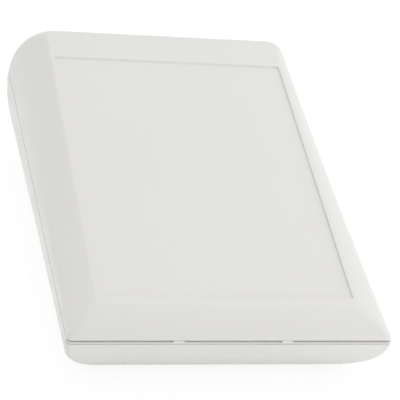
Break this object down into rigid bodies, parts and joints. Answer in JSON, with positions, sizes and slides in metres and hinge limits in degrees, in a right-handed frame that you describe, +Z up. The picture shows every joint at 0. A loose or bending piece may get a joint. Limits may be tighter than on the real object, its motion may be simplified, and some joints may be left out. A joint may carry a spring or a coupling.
{
  "type": "sloped desktop enclosure",
  "caption": "Wedge-shaped desktop case of two moulded shells with arched, mitred flanks, a rising seam with a shadow gap, and a recessed sloping top for a membrane or label.",
  "frame": {"origin": "on the desk, under the middle of the case", "axes": "+X to the right, +Y to the tall rear, +Z up from the desk"},
  "size_m": [0.1506, 0.2134, 0.0784],
  "materials": {
    "shell_plastic": "fine even moulded texture, satin off-white",
    "screw_steel": "bright zinc plate",
    "foot_rubber": "dull grey"
  },
  "bodies": {
    "root": {"top_shell": "shell_plastic", "base_shell": "shell_plastic", "case_screw_front_left": "screw_steel", "case_screw_front_right": "screw_steel", "case_screw_rear_left": "screw_steel", "case_screw_rear_right": "screw_steel", "foot_front_left": "foot_rubber", "foot_front_right": "foot_rubber", "foot_rear_left": "foot_rubber", "foot_rear_right": "foot_rubber"}
  },
  "joints": []
}
